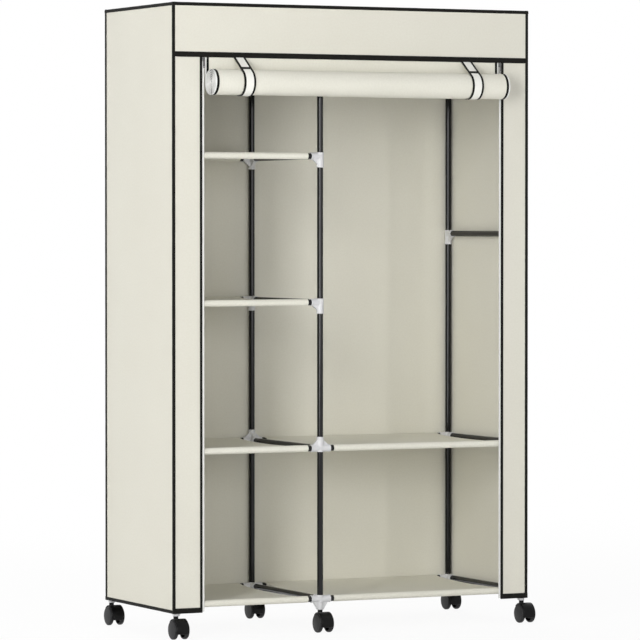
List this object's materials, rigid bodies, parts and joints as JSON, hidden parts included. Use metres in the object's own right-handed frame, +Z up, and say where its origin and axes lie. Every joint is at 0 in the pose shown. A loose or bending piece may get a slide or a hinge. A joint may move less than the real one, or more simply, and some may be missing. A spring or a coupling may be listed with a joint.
{
  "type": "portable fabric wardrobe",
  "caption": "Tube-framed clothes cupboard on casters under a sewn cloth cover, with a roll-up door, cloth shelves and a hanging rod.",
  "frame": {"origin": "on the floor, under the middle of the whole wardrobe's reach in X and Y", "axes": "+X to the viewer's right when facing the door, +Y to the back, +Z up"},
  "size_m": [1.071, 0.5206, 1.6559],
  "materials": {
    "tube": "black glossy powder coat",
    "connector": "white moulded polypropylene, satin",
    "shelf_cloth": "cream non-woven cloth",
    "cover_cloth": "ivory non-woven cloth",
    "door_cloth": "cream non-woven cloth",
    "strap": "white cloth tape",
    "binding": "black woven binding tape",
    "caster_hood": "black moulded nylon",
    "caster_wheel": "dark moulded nylon",
    "zipper": "grey painted zinc alloy"
  },
  "bodies": {
    "frame_and_cover": {"upright_left_front": "tube", "upright_left_back": "tube", "upright_centre_front": "tube", "upright_centre_back": "tube", "upright_right_front": "tube", "upright_right_back": "tube", "rung_left_bottom": "connector", "rung_left_first": "connector", "rung_left_second": "connector", "rung_left_third": "connector", "rung_left_top": "connector", "rung_centre_bottom": "connector", "rung_centre_first": "connector", "rung_centre_second": "connector", "rung_centre_third": "connector", "rung_centre_top": "connector", "rung_right_bottom": "connector", "rung_right_first": "connector", "rung_right_top": "connector", "rung_right_brace": "connector", "rung_centre_rod": "connector", "rung_right_rod": "connector", "top_rail_left_front": "tube", "top_rail_left_back": "tube", "top_rail_right_front": "tube", "top_rail_right_back": "tube", "hanging_rod": "tube", "shelf_left_bottom": "shelf_cloth", "shelf_right_bottom": "shelf_cloth", "shelf_left_first": "shelf_cloth", "shelf_right_first": "shelf_cloth", "shelf_left_second": "shelf_cloth", "shelf_left_third": "shelf_cloth", "cover_roof": "cover_cloth", "cover_back": "cover_cloth", "cover_side_left": "cover_cloth", "cover_side_right": "cover_cloth", "valance": "cover_cloth", "front_flap_left": "cover_cloth", "front_flap_right": "cover_cloth", "cover_binding": "binding", "door_panel": "door_cloth", "door_strap_left": "strap", "door_strap_right": "strap"},
    "caster_left_front": {"caster_hood_left_front": "caster_hood"},
    "wheels_left_front": {"caster_wheels_left_front": "caster_wheel"},
    "caster_left_back": {"caster_hood_left_back": "caster_hood"},
    "wheels_left_back": {"caster_wheels_left_back": "caster_wheel"},
    "caster_centre_front": {"caster_hood_centre_front": "caster_hood"},
    "wheels_centre_front": {"caster_wheels_centre_front": "caster_wheel"},
    "caster_centre_back": {"caster_hood_centre_back": "caster_hood"},
    "wheels_centre_back": {"caster_wheels_centre_back": "caster_wheel"},
    "caster_right_front": {"caster_hood_right_front": "caster_hood"},
    "wheels_right_front": {"caster_wheels_right_front": "caster_wheel"},
    "caster_right_back": {"caster_hood_right_back": "caster_hood"},
    "wheels_right_back": {"caster_wheels_right_back": "caster_wheel"},
    "slider_left": {"zipper_slider_left": "zipper"},
    "pull_left": {"zipper_pull_left": "zipper"},
    "slider_right": {"zipper_slider_right": "zipper"},
    "pull_right": {"zipper_pull_right": "zipper"}
  },
  "joints": [
    {"name": "swivel_left_front", "type": "hinge", "parent": "frame_and_cover", "child": "caster_left_front", "pos_m": [-0.513, -0.17882, 0.059], "axis": [0, 0, 1], "continuous": true},
    {"name": "roll_left_front", "type": "hinge", "parent": "caster_left_front", "child": "wheels_left_front", "pos_m": [-0.513, -0.19782, 0.025], "axis": [1, 0, 0], "continuous": true},
    {"name": "swivel_left_back", "type": "hinge", "parent": "frame_and_cover", "child": "caster_left_back", "pos_m": [-0.513, 0.24718, 0.059], "axis": [0, 0, 1], "continuous": true},
    {"name": "roll_left_back", "type": "hinge", "parent": "caster_left_back", "child": "wheels_left_back", "pos_m": [-0.513, 0.22818, 0.025], "axis": [1, 0, 0], "continuous": true},
    {"name": "swivel_centre_front", "type": "hinge", "parent": "frame_and_cover", "child": "caster_centre_front", "pos_m": [-0.095, -0.17882, 0.059], "axis": [0, 0, 1], "continuous": true},
    {"name": "roll_centre_front", "type": "hinge", "parent": "caster_centre_front", "child": "wheels_centre_front", "pos_m": [-0.095, -0.19782, 0.025], "axis": [1, 0, 0], "continuous": true},
    {"name": "swivel_centre_back", "type": "hinge", "parent": "frame_and_cover", "child": "caster_centre_back", "pos_m": [-0.095, 0.24718, 0.059], "axis": [0, 0, 1], "continuous": true},
    {"name": "roll_centre_back", "type": "hinge", "parent": "caster_centre_back", "child": "wheels_centre_back", "pos_m": [-0.095, 0.22818, 0.025], "axis": [1, 0, 0], "continuous": true},
    {"name": "swivel_right_front", "type": "hinge", "parent": "frame_and_cover", "child": "caster_right_front", "pos_m": [0.513, -0.17882, 0.059], "axis": [0, 0, 1], "continuous": true},
    {"name": "roll_right_front", "type": "hinge", "parent": "caster_right_front", "child": "wheels_right_front", "pos_m": [0.513, -0.19782, 0.025], "axis": [1, 0, 0], "continuous": true},
    {"name": "swivel_right_back", "type": "hinge", "parent": "frame_and_cover", "child": "caster_right_back", "pos_m": [0.513, 0.24718, 0.059], "axis": [0, 0, 1], "continuous": true},
    {"name": "roll_right_back", "type": "hinge", "parent": "caster_right_back", "child": "wheels_right_back", "pos_m": [0.513, 0.22818, 0.025], "axis": [1, 0, 0], "continuous": true},
    {"name": "zip_left", "type": "slide", "parent": "frame_and_cover", "child": "slider_left", "axis": [0, 0, 1], "range_m": [-1.42, 0]},
    {"name": "pull_tab_left", "type": "hinge", "parent": "slider_left", "child": "pull_left", "pos_m": [-0.43825, -0.19387, 1.5077], "axis": [-1, 0, 0], "range_deg": [0, 165]},
    {"name": "zip_right", "type": "slide", "parent": "frame_and_cover", "child": "slider_right", "axis": [0, 0, 1], "range_m": [-1.42, 0]},
    {"name": "pull_tab_right", "type": "hinge", "parent": "slider_right", "child": "pull_right", "pos_m": [0.43825, -0.19387, 1.5077], "axis": [-1, 0, 0], "range_deg": [0, 165]}
  ]
}
